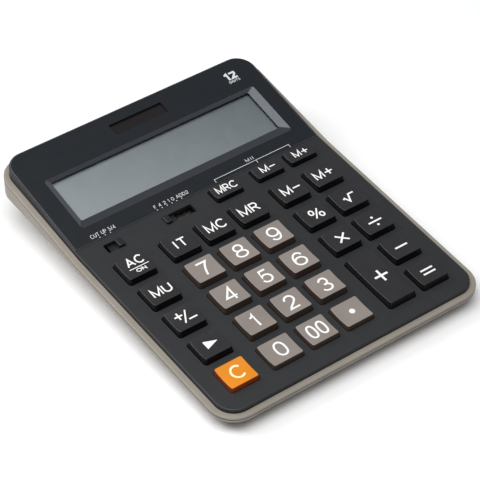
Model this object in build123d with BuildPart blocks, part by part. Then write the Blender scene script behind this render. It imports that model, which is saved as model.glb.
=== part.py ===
"""Desk calculator with an inclined display section, built as separate pieces.

Frame: +X right, +Y towards the display, +Z up, millimetres.
Origin: centre of the footprint on the table, so the rubber feet stand on z = 0.
"""
from build123d import *
import math
import os

os.makedirs("parts", exist_ok=True)

# ---------------------------------------------------------------- overall size
WIDTH = 153.0
DEPTH = 192.0
CORNER_R = 13.5
Y_FRONT = -DEPTH / 2
Y_BACK = DEPTH / 2
BASE_Z = 1.0            # underside of the case; the feet reach down to 0
FLOOR_T = 1.8

# ------------------------------------------------------------ sloping surfaces
FACE_Z = 10.8           # keypad surface, carried on to the front face
FACE_TILT = 4.1         # slope of the keypad, degrees
KINK_Y = 26.0           # where the keypad slope meets the display slope
PANEL_TILT = 12.0       # slope of the display section, degrees
PANEL_PROUD = 0.45      # height of the display panel above the black cover
RIM_DROP = 2.0          # case ledge below the keypad surface
RIM_BACK_TILT = 9.1     # the ledge climbs more gently than the display
BELT_Z = 6.3            # widest line of the case at the front
BELT_TILT = 3.58        # and its slope towards the back
GROOVE_DROP = 0.95      # groove around the case wall, below the ledge
GROOVE = (0.5, 0.5)     # its height and depth

KEYPAD = Plane(
    origin=(0, Y_FRONT, FACE_Z),
    x_dir=(1, 0, 0),
    z_dir=(0, -math.sin(math.radians(FACE_TILT)), math.cos(math.radians(FACE_TILT))),
)


def face_z(y):
    """Height of the keypad surface at y."""
    return FACE_Z + (y - Y_FRONT) * math.tan(math.radians(FACE_TILT))


PANEL = Plane(
    origin=(0, KINK_Y, face_z(KINK_Y)),
    x_dir=(1, 0, 0),
    z_dir=(0, -math.sin(math.radians(PANEL_TILT)), math.cos(math.radians(PANEL_TILT))),
)


def panel_z(y):
    """Height of the display panel surface at y."""
    return face_z(KINK_Y) + (y - KINK_Y) * math.tan(math.radians(PANEL_TILT))


def rim_z(y):
    """Height of the case ledge beside the black cover at y."""
    if y <= KINK_Y:
        return face_z(y) - RIM_DROP
    return face_z(KINK_Y) - RIM_DROP + (y - KINK_Y) * math.tan(math.radians(RIM_BACK_TILT))


def belt_z(y):
    """Height of the widest line of the case at y."""
    return BELT_Z + (y - Y_FRONT) * math.tan(math.radians(BELT_TILT))


# ------------------------------------------------------------------- top cover
COVER_W = 146.4
COVER_Y0 = -92.9
COVER_Y1 = 93.4
COVER_R = 10.0
COVER_T = 1.8
COVER_EDGE_R = 0.7
COVER_LIP = 2.5         # how far the cover wall reaches down inside the case
CASE_GAP = 0.15         # around the cover wall

# --------------------------------------------------------------- display panel
PLATE_W = 144.6
PLATE_S0 = 3.8
PLATE_S1 = 67.9
PLATE_T = 1.2
PLATE_CORNER_R = 9.0
BEZEL_X = 0.6
BEZEL_OUT = (126.0, 33.8, 30.2)      # width, height, centre up the slope
BEZEL_IN = (119.0, 27.0, 32.5)
BEZEL_DEPTH = 2.3
BEZEL_WALL = 1.8
BEZEL_BOTTOM = 3.2
SOLAR_X = 0.3
SOLAR_S = 57.7
SOLAR_OPEN = (31.4, 7.2)
SOLAR_CELL = (33.6, 9.4)
DECK_BOTTOM = 3.0       # underside of the cover deck, below the panel surface

# ------------------------------------------------------------------------ keys
COLS = (-55.8, -30.1, -9.9, 10.4, 35.4, 55.7)
ROWS = (20.6, 40.6, 60.6, 80.4, 100.4)        # front row first
SMALL_ROW = 119.3
KEY_BASE = (15.8, 15.0)
KEY_TOP = (15.0, 13.6)
LOW_TOP = (15.0, 13.9)
SMALL_BASE = (15.8, 9.4)
SMALL_TOP = (15.0, 8.4)
ZERO_X = -31.2
ZERO_EXTRA = 1.5        # the 0 key is this much wider
PLUS_S = 30.4
PLUS_BASE = (15.8, 34.9)
PLUS_TOP = (14.8, 33.5)
KEY_H = 3.4
LOW_H = 2.5             # the front row of number keys is lower
SMALL_H = 2.6
KEY_GAP = 0.35
KEY_SKIRT = 2.7         # lower edge of the flange below the keypad surface
FLANGE = 0.8
FLANGE_T = 0.8
KEY_WALL = 1.2
KEY_TRAVEL = 1.4
DISH = 0.55             # depth of the hollow across a key top

# ----------------------------------------------------- layers below the keypad
DOME_TOP = 3.4
SHEET_TOP = 5.6
SHEET_BOTTOM = 6.4
BOARD_TOP = 6.45
BOARD_BOTTOM = 7.65
BOARD_W = 127.0
BOARD_S0 = 12.0
BOARD_S1 = 126.0

# -------------------------------------------------------------- slide switches
SLOT_S = 119.1
SLOT_H = 5.8
KNOB_W = 3.4
KNOB_H = 5.2
ROUND_SLOT = (-59.9, -50.1)
DECIMAL_SLOT = (-26.2, -8.8)
END_GAP = 0.1

# -------------------------------------------------------------------- fixings
BOARD_SCREWS = ((-43.0, 30.5), (22.9, 30.5), (-43.0, 90.5), (22.9, 90.5), (-43.0, 112.0), (22.9, 112.0))
FRAME_SCREWS = ((-67.6, 20.0), (-67.6, 45.0), (67.8, 20.0), (67.8, 45.0))
# x, y, seat of the screw head, height where case post meets cover boss
CASE_SCREWS = (
    (-66.8, -86.5, 3.0, 6.5),
    (66.8, -86.5, 3.0, 6.5),
    (-43.0, -36.2, 3.0, 7.0),
    (22.9, -36.2, 3.0, 7.0),
    (-40.0, 84.5, 12.0, 18.0),
    (40.0, 84.5, 12.0, 18.0),
)
FEET = ((-58.0, -80.0), (58.0, -80.0), (-54.0, 76.0), (54.0, 76.0))
FOOT_R = 5.0
BATTERY = (44.0, 2.0)
BATTERY_R = 5.8
BATTERY_H = 5.4
BATTERY_Z = 2.8
DOOR = (24.0, 18.0)
DOOR_OFFSET = 4.0       # the door also covers its screw beside the cell
LABEL_XY = (-22.0, 6.0)
LABEL_SIZE = (44.0, 26.0)


def side_plane(plane, x, s):
    """A plane facing +X through a point of a sloping surface: local x runs up the slope."""
    return Plane(origin=plane.from_local_coords((x, s, 0)), x_dir=plane.y_dir, z_dir=(1, 0, 0))


def save(piece, name):
    """Name a finished piece and write its file."""
    piece.part.label = name
    export_step(piece.part, "parts/" + name + ".step")


def polygon(points):
    """Filled outline through the points, in the coordinates of the current sketch."""
    Polygon(*points, align=None)


# ----------------------------------------------------------------- bottom case
def hull_inset(drop, lean):
    """Sideways shift of a wall that leans by an angle over a drop."""
    return drop * math.tan(math.radians(lean))


SIDE_LEAN = 38.0
FRONT_LEAN = 44.0
BACK_LEAN = 17.0
BELT = Plane(
    origin=(0, Y_FRONT, BELT_Z),
    x_dir=(1, 0, 0),
    z_dir=(0, -math.sin(math.radians(BELT_TILT)), math.cos(math.radians(BELT_TILT))),
)


def hull_outline(level, skin):
    """Centre and size of the leaning hull at a level above the belt, less a skin."""
    side = hull_inset(-level, SIDE_LEAN) + skin / math.cos(math.radians(SIDE_LEAN))
    front = hull_inset(-level, FRONT_LEAN) + skin / math.cos(math.radians(FRONT_LEAN))
    back = hull_inset(-level, BACK_LEAN) + skin / math.cos(math.radians(BACK_LEAN))
    length = DEPTH / math.cos(math.radians(BELT_TILT))
    return (front + length - back) / 2, WIDTH - 2 * side, length - front - back


def hull_loft(skin, mode):
    """Leaning lower walls as a ruled loft between two levels."""
    rings = []
    high, low = 10.0, -22.0
    belt_r = CORNER_R - 1.3 * skin
    low_r = 4.0 - 0.5 * skin
    high_r = belt_r + (belt_r - low_r) * high / -low
    for level, radius in ((high, high_r), (low, low_r)):
        centre, width, length = hull_outline(level, skin)
        with BuildSketch(BELT.offset(level)) as ring:
            with Locations((0, centre)):
                RectangleRounded(width, length, radius)
        rings.append(ring.sketch)
    loft(rings, ruled=True, mode=mode)


with BuildPart() as case_cavity:
    with BuildSketch(Plane.XY.offset(BASE_Z + FLOOR_T)):
        with Locations((0, (COVER_Y0 + COVER_Y1) / 2)):
            RectangleRounded(
                COVER_W + 2 * CASE_GAP,
                COVER_Y1 - COVER_Y0 + 2 * CASE_GAP,
                COVER_R + CASE_GAP,
            )
    extrude(amount=40.0)
    hull_loft(2.0, Mode.INTERSECT)

with BuildPart() as case_groove:
    with BuildSketch():
        RectangleRounded(WIDTH + 4, DEPTH + 4, CORNER_R + 2)
        RectangleRounded(
            WIDTH - 2 * GROOVE[1], DEPTH - 2 * GROOVE[1], CORNER_R - GROOVE[1], mode=Mode.SUBTRACT
        )
    extrude(amount=60.0)
    groove_low = GROOVE_DROP + GROOVE[0]
    with BuildSketch(Plane.YZ):
        polygon((
            (Y_FRONT - 3, rim_z(Y_FRONT - 3) - groove_low),
            (Y_FRONT - 3, rim_z(Y_FRONT - 3) - GROOVE_DROP),
            (KINK_Y, rim_z(KINK_Y) - GROOVE_DROP),
            (Y_BACK + 3, rim_z(Y_BACK + 3) - GROOVE_DROP),
            (Y_BACK + 3, rim_z(Y_BACK + 3) - groove_low),
            (KINK_Y, rim_z(KINK_Y) - groove_low),
        ))
    extrude(amount=WIDTH, both=True, mode=Mode.INTERSECT)

with BuildPart() as bottom_case:
    with BuildSketch(Plane.XY.offset(BASE_Z)):
        RectangleRounded(WIDTH, DEPTH, CORNER_R)
    extrude(amount=40.0)
    hull_loft(0.0, Mode.INTERSECT)
    # Top edge follows the ledge around the black cover.
    with BuildSketch(Plane.YZ):
        polygon((
            (Y_FRONT - 2, 0),
            (Y_FRONT - 2, rim_z(Y_FRONT - 2)),
            (KINK_Y, rim_z(KINK_Y)),
            (Y_BACK + 2, rim_z(Y_BACK + 2)),
            (Y_BACK + 2, 0),
        ))
    extrude(amount=WIDTH, both=True, mode=Mode.INTERSECT)
    # Rounded ledge edge and rounded belt line.
    ledge_edges = [
        e for e in bottom_case.edges()
        if e.center().Z > belt_z(e.center().Y) + 1.2 and e.center().Z > rim_z(e.center().Y) - 0.6
        and not (abs(e.center().X) < 1 and abs(e.center().Y - KINK_Y) < 1)
    ]
    fillet(ledge_edges, 0.7)
    belt_edges = [
        e for e in bottom_case.edges()
        if abs(e.center().Z - belt_z(e.center().Y)) < 0.9 and e.length > 5
    ]
    fillet(belt_edges, 1.6)
    add(case_groove.part, mode=Mode.SUBTRACT)
    add(case_cavity.part, mode=Mode.SUBTRACT)
    # Thickened floor round the cell well, and the ring that holds the cell.
    with BuildSketch(Plane.XY.offset(BASE_Z + FLOOR_T - 0.2)):
        with Locations((BATTERY[0] + DOOR_OFFSET, BATTERY[1])):
            RectangleRounded(DOOR[0] + 4, DOOR[1] + 4, 2.0)
    extrude(amount=1.6)
    with BuildSketch(Plane.XY.offset(BASE_Z + FLOOR_T)):
        with Locations(BATTERY):
            Circle(BATTERY_R + 1.5)
    extrude(amount=5.0)
    # Screw posts.
    for px, py, seat, mate in CASE_SCREWS:
        with BuildSketch(Plane.XY.offset(BASE_Z + 0.4)):
            with Locations((px, py)):
                Circle(3.6 if seat > 5 else 2.6)
        extrude(amount=mate - BASE_Z - 0.4)
    # Stiffening ribs across the floor.
    for rib_y in (-66.0, -14.0, 34.0):
        with BuildSketch(Plane.XY.offset(BASE_Z + FLOOR_T - 0.2)):
            with Locations((0, rib_y)):
                Rectangle(100.0, 1.0)
        extrude(amount=1.4)
    for px, py, seat, mate in CASE_SCREWS:
        with BuildSketch(Plane.XY.offset(BASE_Z - 0.5)):
            with Locations((px, py)):
                Circle(2.45)
        extrude(amount=seat - BASE_Z + 0.5, mode=Mode.SUBTRACT)
        with BuildSketch(Plane.XY.offset(seat - 0.5)):
            with Locations((px, py)):
                Circle(1.25)
        extrude(amount=mate - seat + 1.0, mode=Mode.SUBTRACT)
    # Cell door recess, cell well, contact slot and the hole for the door screw.
    with BuildSketch(Plane.XY.offset(BASE_Z - 0.5)):
        with Locations((BATTERY[0] + DOOR_OFFSET, BATTERY[1])):
            RectangleRounded(DOOR[0] + 0.4, DOOR[1] + 0.4, 2.2)
    extrude(amount=2.15, mode=Mode.SUBTRACT)
    with BuildSketch(Plane.XY):
        with Locations(BATTERY):
            Circle(BATTERY_R + 0.2)
    extrude(amount=20.0, mode=Mode.SUBTRACT)
    with BuildSketch(Plane.XY.offset(5.0)):
        with Locations((BATTERY[0] - BATTERY_R - 0.8, BATTERY[1])):
            Rectangle(3.4, 4.2)
    extrude(amount=8.0, mode=Mode.SUBTRACT)
    with BuildSketch(Plane.XY.offset(BASE_Z)):
        with Locations((BATTERY[0] + 12.0, BATTERY[1])):
            Circle(0.85)
    extrude(amount=3.2, mode=Mode.SUBTRACT)
    # Pockets for the feet and the label.
    with BuildSketch(Plane.XY.offset(BASE_Z - 0.5)):
        with Locations(*FEET):
            Circle(FOOT_R + 0.2)
        with Locations(LABEL_XY):
            RectangleRounded(LABEL_SIZE[0] + 1, LABEL_SIZE[1] + 1, 1.5)
    extrude(amount=0.75, mode=Mode.SUBTRACT)
    with BuildSketch(Plane.XY.offset(BASE_Z - 0.5)):
        with Locations(*FEET):
            Circle(FOOT_R + 0.2)
    extrude(amount=1.1, mode=Mode.SUBTRACT)
save(bottom_case, "bottom_case")

with BuildPart() as battery_door:
    with BuildSketch(Plane.XY.offset(BASE_Z)):
        with Locations((BATTERY[0] + DOOR_OFFSET, BATTERY[1])):
            RectangleRounded(DOOR[0], DOOR[1], 2.0)
    extrude(amount=1.6)
    with BuildSketch(Plane.XY.offset(BASE_Z - 0.1)):
        with Locations((BATTERY[0] + 12.0, BATTERY[1])):
            Circle(1.8)
    extrude(amount=0.9, mode=Mode.SUBTRACT)
    with BuildSketch(Plane.XY.offset(BASE_Z)):
        with Locations((BATTERY[0] + 12.0, BATTERY[1])):
            Circle(1.0)
    extrude(amount=2.0, mode=Mode.SUBTRACT)
    with BuildSketch(Plane.XY.offset(BASE_Z - 0.1)):
        with GridLocations(2.0, 1.0, 4, 1):
            with Locations((BATTERY[0] - 2.0, BATTERY[1])):
                SlotOverall(9.0, 0.8, rotation=90)
    extrude(amount=0.45, mode=Mode.SUBTRACT)
save(battery_door, "battery_door")

with BuildPart() as button_cell:
    with BuildSketch(Plane.XY.offset(BATTERY_Z)):
        with Locations(BATTERY):
            Circle(BATTERY_R)
    extrude(amount=BATTERY_H - 0.6)
    fillet(button_cell.edges(), 0.4)
    with BuildSketch(Plane.XY.offset(BATTERY_Z + BATTERY_H - 1.0)):
        with Locations(BATTERY):
            Circle(BATTERY_R - 1.0)
    extrude(amount=1.0)
save(button_cell, "button_cell")

with BuildPart() as rubber_feet:
    with BuildSketch(Plane.XY):
        with Locations(*FEET):
            Circle(FOOT_R)
    extrude(amount=BASE_Z + 0.6)
    fillet(rubber_feet.edges().group_by(Axis.Z)[0], 0.4)
save(rubber_feet, "rubber_feet")

with BuildPart() as rating_label:
    with BuildSketch(Plane.XY.offset(BASE_Z + 0.13)):
        with Locations(LABEL_XY):
            RectangleRounded(LABEL_SIZE[0], LABEL_SIZE[1], 1.2)
    extrude(amount=0.12)
save(rating_label, "rating_label")


def screw(plane, u, v, head_r, head_h, shank_r, length):
    """Pan-head screw standing on a plane, head below and shank along +normal, with a cross slot."""
    with BuildSketch(plane.offset(-head_h)) as head:
        with Locations((u, v)):
            Circle(head_r)
    extrude(head.sketch, amount=head_h)
    with BuildSketch(plane) as shank:
        with Locations((u, v)):
            Circle(shank_r)
    extrude(shank.sketch, amount=length)
    with BuildSketch(plane.offset(-head_h)) as cross:
        with Locations((u, v)):
            Rectangle(head_r * 1.3, 0.4)
            Rectangle(0.4, head_r * 1.3)
    extrude(cross.sketch, amount=head_h * 0.5, mode=Mode.SUBTRACT)


with BuildPart() as case_screws:
    for px, py, seat, mate in CASE_SCREWS:
        reach = 2.6 if mate < 6.8 else 3.6
        screw(Plane.XY.offset(seat), px, py, 2.1, 1.5, 1.0, mate - seat + reach)
save(case_screws, "case_screws")

with BuildPart() as door_screw:
    screw(Plane.XY.offset(BASE_Z + 0.8), BATTERY[0] + 12.0, BATTERY[1], 1.6, 0.7, 0.8, 2.2)
save(door_screw, "door_screw")

# ------------------------------------------------------------------- top cover
KEY_OUTLINES = []
for row_index, row_s in enumerate(ROWS):
    for col_index, col_x in enumerate(COLS):
        if col_index == 4 and row_index < 2:
            continue
        if row_index == 0 and col_index == 1:
            KEY_OUTLINES.append((ZERO_X, row_s, KEY_BASE[0] + ZERO_EXTRA, KEY_BASE[1]))
            continue
        KEY_OUTLINES.append((col_x, row_s, KEY_BASE[0], KEY_BASE[1]))
KEY_OUTLINES.append((COLS[4], PLUS_S, PLUS_BASE[0], PLUS_BASE[1]))
for col_x in COLS[3:]:
    KEY_OUTLINES.append((col_x + 0.2, SMALL_ROW, SMALL_BASE[0], SMALL_BASE[1]))

cover_kink = KINK_Y + PANEL_PROUD / math.cos(math.radians(PANEL_TILT)) / (
    math.tan(math.radians(PANEL_TILT)) - math.tan(math.radians(FACE_TILT))
)


def cover_top_z(y):
    """Height of the black cover's own surface at y."""
    if y <= cover_kink:
        return face_z(y)
    return panel_z(y) - PANEL_PROUD / math.cos(math.radians(PANEL_TILT))


def cover_under_z(y):
    """Height of the underside of the cover at y."""
    if y <= cover_kink:
        return face_z(y) - COVER_T / math.cos(math.radians(FACE_TILT))
    return panel_z(y) - DECK_BOTTOM / math.cos(math.radians(PANEL_TILT))


with BuildPart() as cover_cavity:
    with BuildSketch(Plane.XY):
        with Locations((0, (COVER_Y0 + COVER_Y1) / 2)):
            RectangleRounded(
                COVER_W - 2 * COVER_T,
                COVER_Y1 - COVER_Y0 - 2 * COVER_T,
                COVER_R - COVER_T,
            )
    extrude(amount=40.0)
    with BuildSketch(Plane.YZ):
        polygon((
            (Y_FRONT, 0),
            (Y_FRONT, cover_under_z(Y_FRONT)),
            (cover_kink - 0.1, cover_under_z(cover_kink - 0.1)),
            (cover_kink - 0.1, panel_z(cover_kink - 0.1) - DECK_BOTTOM / math.cos(math.radians(PANEL_TILT))),
            (Y_BACK, cover_under_z(Y_BACK)),
            (Y_BACK, 0),
        ))
    extrude(amount=WIDTH, both=True, mode=Mode.INTERSECT)


def plate_outline(grow):
    """Display plate outline: square front corners, large back corners."""
    with Locations((0, (PLATE_S0 + PLATE_S1) / 2)):
        Rectangle(PLATE_W + 2 * grow, PLATE_S1 - PLATE_S0 + 2 * grow)


with BuildPart() as top_cover:
    with BuildSketch(Plane.XY):
        with Locations((0, (COVER_Y0 + COVER_Y1) / 2)):
            RectangleRounded(COVER_W, COVER_Y1 - COVER_Y0, COVER_R)
    extrude(amount=40.0)
    with BuildSketch(Plane.YZ):
        polygon((
            (Y_FRONT, rim_z(Y_FRONT) - COVER_LIP),
            (Y_FRONT, cover_top_z(Y_FRONT)),
            (cover_kink, cover_top_z(cover_kink)),
            (Y_BACK, cover_top_z(Y_BACK)),
            (Y_BACK, rim_z(Y_BACK) - COVER_LIP),
            (KINK_Y, rim_z(KINK_Y) - COVER_LIP),
        ))
    extrude(amount=WIDTH, both=True, mode=Mode.INTERSECT)
    top_edges = [
        e for e in top_cover.edges()
        if abs(e.center().Z - cover_top_z(e.center().Y)) < 0.35
        and not (abs(e.center().Y - cover_kink) < 0.5 and e.length > 100)
    ]
    fillet(top_edges, COVER_EDGE_R)
    add(cover_cavity.part, mode=Mode.SUBTRACT)
    # Bosses for the board screws and the display frame screws.
    with BuildSketch(KEYPAD.offset(-BOARD_TOP)):
        with Locations(*BOARD_SCREWS):
            Circle(2.3)
    extrude(amount=BOARD_TOP - COVER_T + 0.3)
    with BuildSketch(PANEL.offset(-5.0)):
        with Locations(*FRAME_SCREWS):
            Circle(2.2)
    extrude(amount=5.0 - DECK_BOTTOM + 0.3)
    # Bosses that meet the posts of the case.
    for px, py, seat, mate in CASE_SCREWS:
        with BuildSketch(Plane.XY.offset(mate)):
            with Locations((px, py)):
                Circle(3.6 if seat > 5 else 2.6)
        extrude(amount=cover_under_z(py) - mate + 0.5)
    # Rails that guide the slide switches.
    for slot in (ROUND_SLOT, DECIMAL_SLOT):
        with BuildSketch(KEYPAD.offset(-4.4)):
            for side in (-1, 1):
                with Locations(((slot[0] + slot[1]) / 2, SLOT_S + side * 4.4)):
                    Rectangle(slot[1] - slot[0] + 8.0, 0.7)
        extrude(amount=4.4 - COVER_T + 0.3)
    # Pilot holes.
    with BuildSketch(KEYPAD.offset(-BOARD_TOP - 0.1)):
        with Locations(*BOARD_SCREWS):
            Circle(0.85)
    extrude(amount=4.6, mode=Mode.SUBTRACT)
    with BuildSketch(PANEL.offset(-5.1)):
        with Locations(*FRAME_SCREWS):
            Circle(0.85)
    extrude(amount=3.3, mode=Mode.SUBTRACT)
    for px, py, seat, mate in CASE_SCREWS:
        with BuildSketch(Plane.XY.offset(mate - 0.1)):
            with Locations((px, py)):
                Circle(1.05)
        extrude(amount=3.0 if mate < 6.8 else 4.0, mode=Mode.SUBTRACT)
    # Key holes and switch slots.
    with BuildSketch(KEYPAD.offset(1.0)):
        for kx, ks, kw, kd in KEY_OUTLINES:
            with Locations((kx, ks)):
                RectangleRounded(kw + 2 * KEY_GAP, kd + 2 * KEY_GAP, 1.5)
        for slot in (ROUND_SLOT, DECIMAL_SLOT):
            with Locations(((slot[0] + slot[1]) / 2, SLOT_S)):
                RectangleRounded(slot[1] - slot[0], SLOT_H, 0.8)
    extrude(amount=-(COVER_T + 1.6), mode=Mode.SUBTRACT)
    # Seat of the display plate, and the openings for the display and the solar cell.
    with BuildSketch(PANEL.offset(-PLATE_T)) as plate_seat:
        plate_outline(0.1)
        fillet(plate_seat.vertices().group_by(Axis.Y)[-1], PLATE_CORNER_R + 0.1)
    extrude(amount=3.0, mode=Mode.SUBTRACT)
    with BuildSketch(PANEL):
        with Locations((BEZEL_X, BEZEL_OUT[2])):
            Rectangle(BEZEL_OUT[0] + 2 * BEZEL_WALL + 0.4, BEZEL_OUT[1] + 2 * BEZEL_WALL + 0.4)
        with Locations((SOLAR_X, SOLAR_S)):
            Rectangle(SOLAR_CELL[0] + 0.4, SOLAR_CELL[1] + 0.4)
    extrude(amount=-4.0, mode=Mode.SUBTRACT)
save(top_cover, "top_cover")

# --------------------------------------------------------------- display panel
with BuildPart() as display_panel:
    with BuildSketch(PANEL.offset(-PLATE_T)) as plate_sketch:
        plate_outline(0.0)
        fillet(plate_sketch.vertices().group_by(Axis.Y)[-1], PLATE_CORNER_R)
    extrude(amount=PLATE_T)
    plate_top = display_panel.faces().filter_by(PANEL).sort_by(Axis.Z)[-1]
    chamfer(plate_top.edges(), 0.22)
    with BuildSketch(PANEL.offset(-BEZEL_BOTTOM)):
        with Locations((BEZEL_X, BEZEL_OUT[2])):
            Rectangle(BEZEL_OUT[0] + 2 * BEZEL_WALL, BEZEL_OUT[1] + 2 * BEZEL_WALL)
    extrude(amount=BEZEL_BOTTOM - PLATE_T + 0.1)
    # Funnel of the display window: shallow slope in front, steep at the back.
    with BuildSketch(PANEL):
        with Locations((BEZEL_X, BEZEL_OUT[2])):
            RectangleRounded(BEZEL_OUT[0], BEZEL_OUT[1], 1.6)
    with BuildSketch(PANEL.offset(-BEZEL_DEPTH)):
        with Locations((BEZEL_X, BEZEL_IN[2])):
            RectangleRounded(BEZEL_IN[0], BEZEL_IN[1], 0.8)
    loft(ruled=True, mode=Mode.SUBTRACT)
    with BuildSketch(PANEL.offset(-BEZEL_DEPTH + 0.1)):
        with Locations((BEZEL_X, BEZEL_IN[2])):
            RectangleRounded(BEZEL_IN[0], BEZEL_IN[1], 0.8)
    extrude(amount=-2.0, mode=Mode.SUBTRACT)
    with BuildSketch(PANEL.offset(1.0)):
        with Locations((SOLAR_X, SOLAR_S)):
            RectangleRounded(SOLAR_OPEN[0], SOLAR_OPEN[1], 0.6)
    extrude(amount=-3.0, mode=Mode.SUBTRACT)
save(display_panel, "display_panel")


def slab(plane, top, bottom, x, s, width, height, radius=0.0):
    """Flat block between two depths below a sloping plane."""
    with BuildSketch(plane.offset(-bottom)) as outline:
        with Locations((x, s)):
            if radius > 0:
                RectangleRounded(width, height, radius)
            else:
                Rectangle(width, height)
    extrude(outline.sketch, amount=bottom - top)


with BuildPart() as lcd_lens:
    slab(PANEL, BEZEL_BOTTOM, BEZEL_BOTTOM + 1.0, BEZEL_X, 32.0, 124.0, 32.0, 1.0)
save(lcd_lens, "lcd_lens")

with BuildPart() as lcd_glass:
    slab(PANEL, 4.35, 5.45, BEZEL_X, 32.0, 126.0, 34.0)
    slab(PANEL, 5.45, 6.55, BEZEL_X, 33.4, 126.0, 31.2)
save(lcd_glass, "lcd_glass")

with BuildPart() as lcd_frame:
    slab(PANEL, 3.25, 8.0, BEZEL_X, 31.5, 132.0, 40.0, 1.5)
    with BuildSketch(PANEL.offset(-6.8)):
        with Locations(*FRAME_SCREWS):
            Circle(2.6)
    extrude(amount=1.8)
    with BuildSketch(PANEL.offset(-3.0)):
        with Locations((BEZEL_X, 32.0)):
            Rectangle(124.4, 32.4)
    extrude(amount=-1.3, mode=Mode.SUBTRACT)
    with BuildSketch(PANEL.offset(-4.3)):
        with Locations((BEZEL_X, 32.0)):
            Rectangle(126.4, 34.4)
    extrude(amount=-2.3, mode=Mode.SUBTRACT)
    with BuildSketch(PANEL.offset(-6.0)):
        with Locations((BEZEL_X, 33.5)):
            Rectangle(116.0, 26.0)
        # Notch where the ribbon leaves.
        with Locations((BEZEL_X, 15.5)):
            Rectangle(48.0, 12.0)
    extrude(amount=-3.0, mode=Mode.SUBTRACT)
    with BuildSketch(PANEL.offset(-4.0)):
        with Locations(*FRAME_SCREWS):
            Circle(1.1)
    extrude(amount=-4.0, mode=Mode.SUBTRACT)
    with BuildSketch(PANEL.offset(-6.8)):
        with Locations(*FRAME_SCREWS):
            Circle(2.0)
    extrude(amount=-3.0, mode=Mode.SUBTRACT)
    # Relief around the cover bosses above the ears.
    with BuildSketch(PANEL.offset(-5.0)):
        with Locations(*FRAME_SCREWS):
            Circle(2.4)
    extrude(amount=3.0, mode=Mode.SUBTRACT)
save(lcd_frame, "lcd_frame")

with BuildPart() as solar_window:
    slab(PANEL, PLATE_T, PLATE_T + 0.8, SOLAR_X, SOLAR_S, SOLAR_CELL[0], SOLAR_CELL[1])
save(solar_window, "solar_window")

with BuildPart() as solar_cell:
    slab(PANEL, PLATE_T + 0.85, PLATE_T + 1.95, SOLAR_X, SOLAR_S, SOLAR_CELL[0], SOLAR_CELL[1])
save(solar_cell, "solar_cell")

# --------------------------------------------------------------- circuit board
with BuildPart() as main_board:
    slab(KEYPAD, BOARD_TOP, BOARD_BOTTOM, 0, (BOARD_S0 + BOARD_S1) / 2, BOARD_W, BOARD_S1 - BOARD_S0, 1.5)
    with BuildSketch(KEYPAD.offset(-BOARD_TOP)):
        with Locations(*BOARD_SCREWS):
            Circle(1.1)
    extrude(amount=-2.0, mode=Mode.SUBTRACT)
    for px, py, seat, mate in CASE_SCREWS[2:4]:
        with BuildSketch(Plane.XY.offset(mate)):
            with Locations((px, py)):
                Circle(3.2)
        extrude(amount=4.0, mode=Mode.SUBTRACT)
save(main_board, "main_board")

with BuildPart() as chip_cover:
    with BuildSketch(side_plane(KEYPAD, -12.0, 58.0)) as blob_profile:
        polygon(((0, -BOARD_BOTTOM), (6.5, -BOARD_BOTTOM), (6.2, -8.15), (4.6, -8.9), (2.4, -9.25), (0, -9.35)))
    revolve(axis=Axis(KEYPAD.from_local_coords((-12.0, 58.0, 0)), KEYPAD.z_dir))
save(chip_cover, "chip_cover")

with BuildPart() as board_parts:
    for cx, cs, cw, cd, ch in (
        (4.0, 52.0, 2.0, 1.2, 0.7), (4.0, 56.0, 2.0, 1.2, 0.7), (4.0, 60.0, 2.0, 1.2, 0.7),
        (-28.0, 56.0, 1.2, 2.0, 0.7), (-28.0, 61.0, 1.2, 2.0, 0.7),
        (10.0, 72.0, 3.2, 1.6, 0.9), (16.0, 72.0, 3.2, 1.6, 0.9), (-20.0, 74.0, 2.9, 1.3, 1.1),
    ):
        slab(KEYPAD, BOARD_BOTTOM, BOARD_BOTTOM + ch, cx, cs, cw, cd)
    # Reservoir capacitor lying on the board.
    with BuildSketch(side_plane(KEYPAD, -4.0, 84.0)):
        with Locations((0, -BOARD_BOTTOM - 2.2)):
            Circle(2.2)
    extrude(amount=8.0)
save(board_parts, "board_parts")

with BuildPart() as inner_screws:
    for bx, bs in BOARD_SCREWS:
        screw(KEYPAD.offset(-BOARD_BOTTOM), bx, bs, 1.7, 1.1, 0.8, 5.2)
    for bx, bs in FRAME_SCREWS:
        screw(PANEL.offset(-6.8), bx, bs, 1.7, 1.1, 0.8, 4.6)
save(inner_screws, "inner_screws")

# Printed ribbon from the display glass to the underside of the board.
ribbon_path = (
    (PANEL, 18.5, 6.65), (PANEL, 10.5, 6.7), (PANEL, 5.0, 9.2), (KEYPAD, 126.8, 8.6), (KEYPAD, 120.0, 7.75),
)
ribbon_top = [p.from_local_coords((0, s, -d)) for p, s, d in ribbon_path]
ribbon_low = [p.from_local_coords((0, s, -d - 0.15)) for p, s, d in ribbon_path]
with BuildPart() as display_ribbon:
    with BuildSketch(Plane.YZ):
        polygon([(v.Y, v.Z) for v in ribbon_top] + [(v.Y, v.Z) for v in reversed(ribbon_low)])
    extrude(amount=21.0, both=True)
save(display_ribbon, "display_ribbon")

with BuildPart() as solar_wires:
    for wx in (-9.0, 9.6):
        start = PANEL.from_local_coords((wx, SOLAR_S, -3.7))
        second = PANEL.from_local_coords((wx, SOLAR_S - 1.0, -9.0))
        third = Vector(wx * 1.6, 62.0, 12.0)
        fourth = Vector(wx * 2.6, 40.0, 8.2)
        last = KEYPAD.from_local_coords((wx * 3.0, 116.0, -BOARD_BOTTOM - 0.5))
        with BuildLine() as wire_line:
            Spline(start, second, third, fourth, last)
        with BuildSketch(Plane(origin=wire_line.line @ 0, z_dir=wire_line.line % 0)):
            Circle(0.45)
        sweep()
save(solar_wires, "solar_wires")

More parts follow.
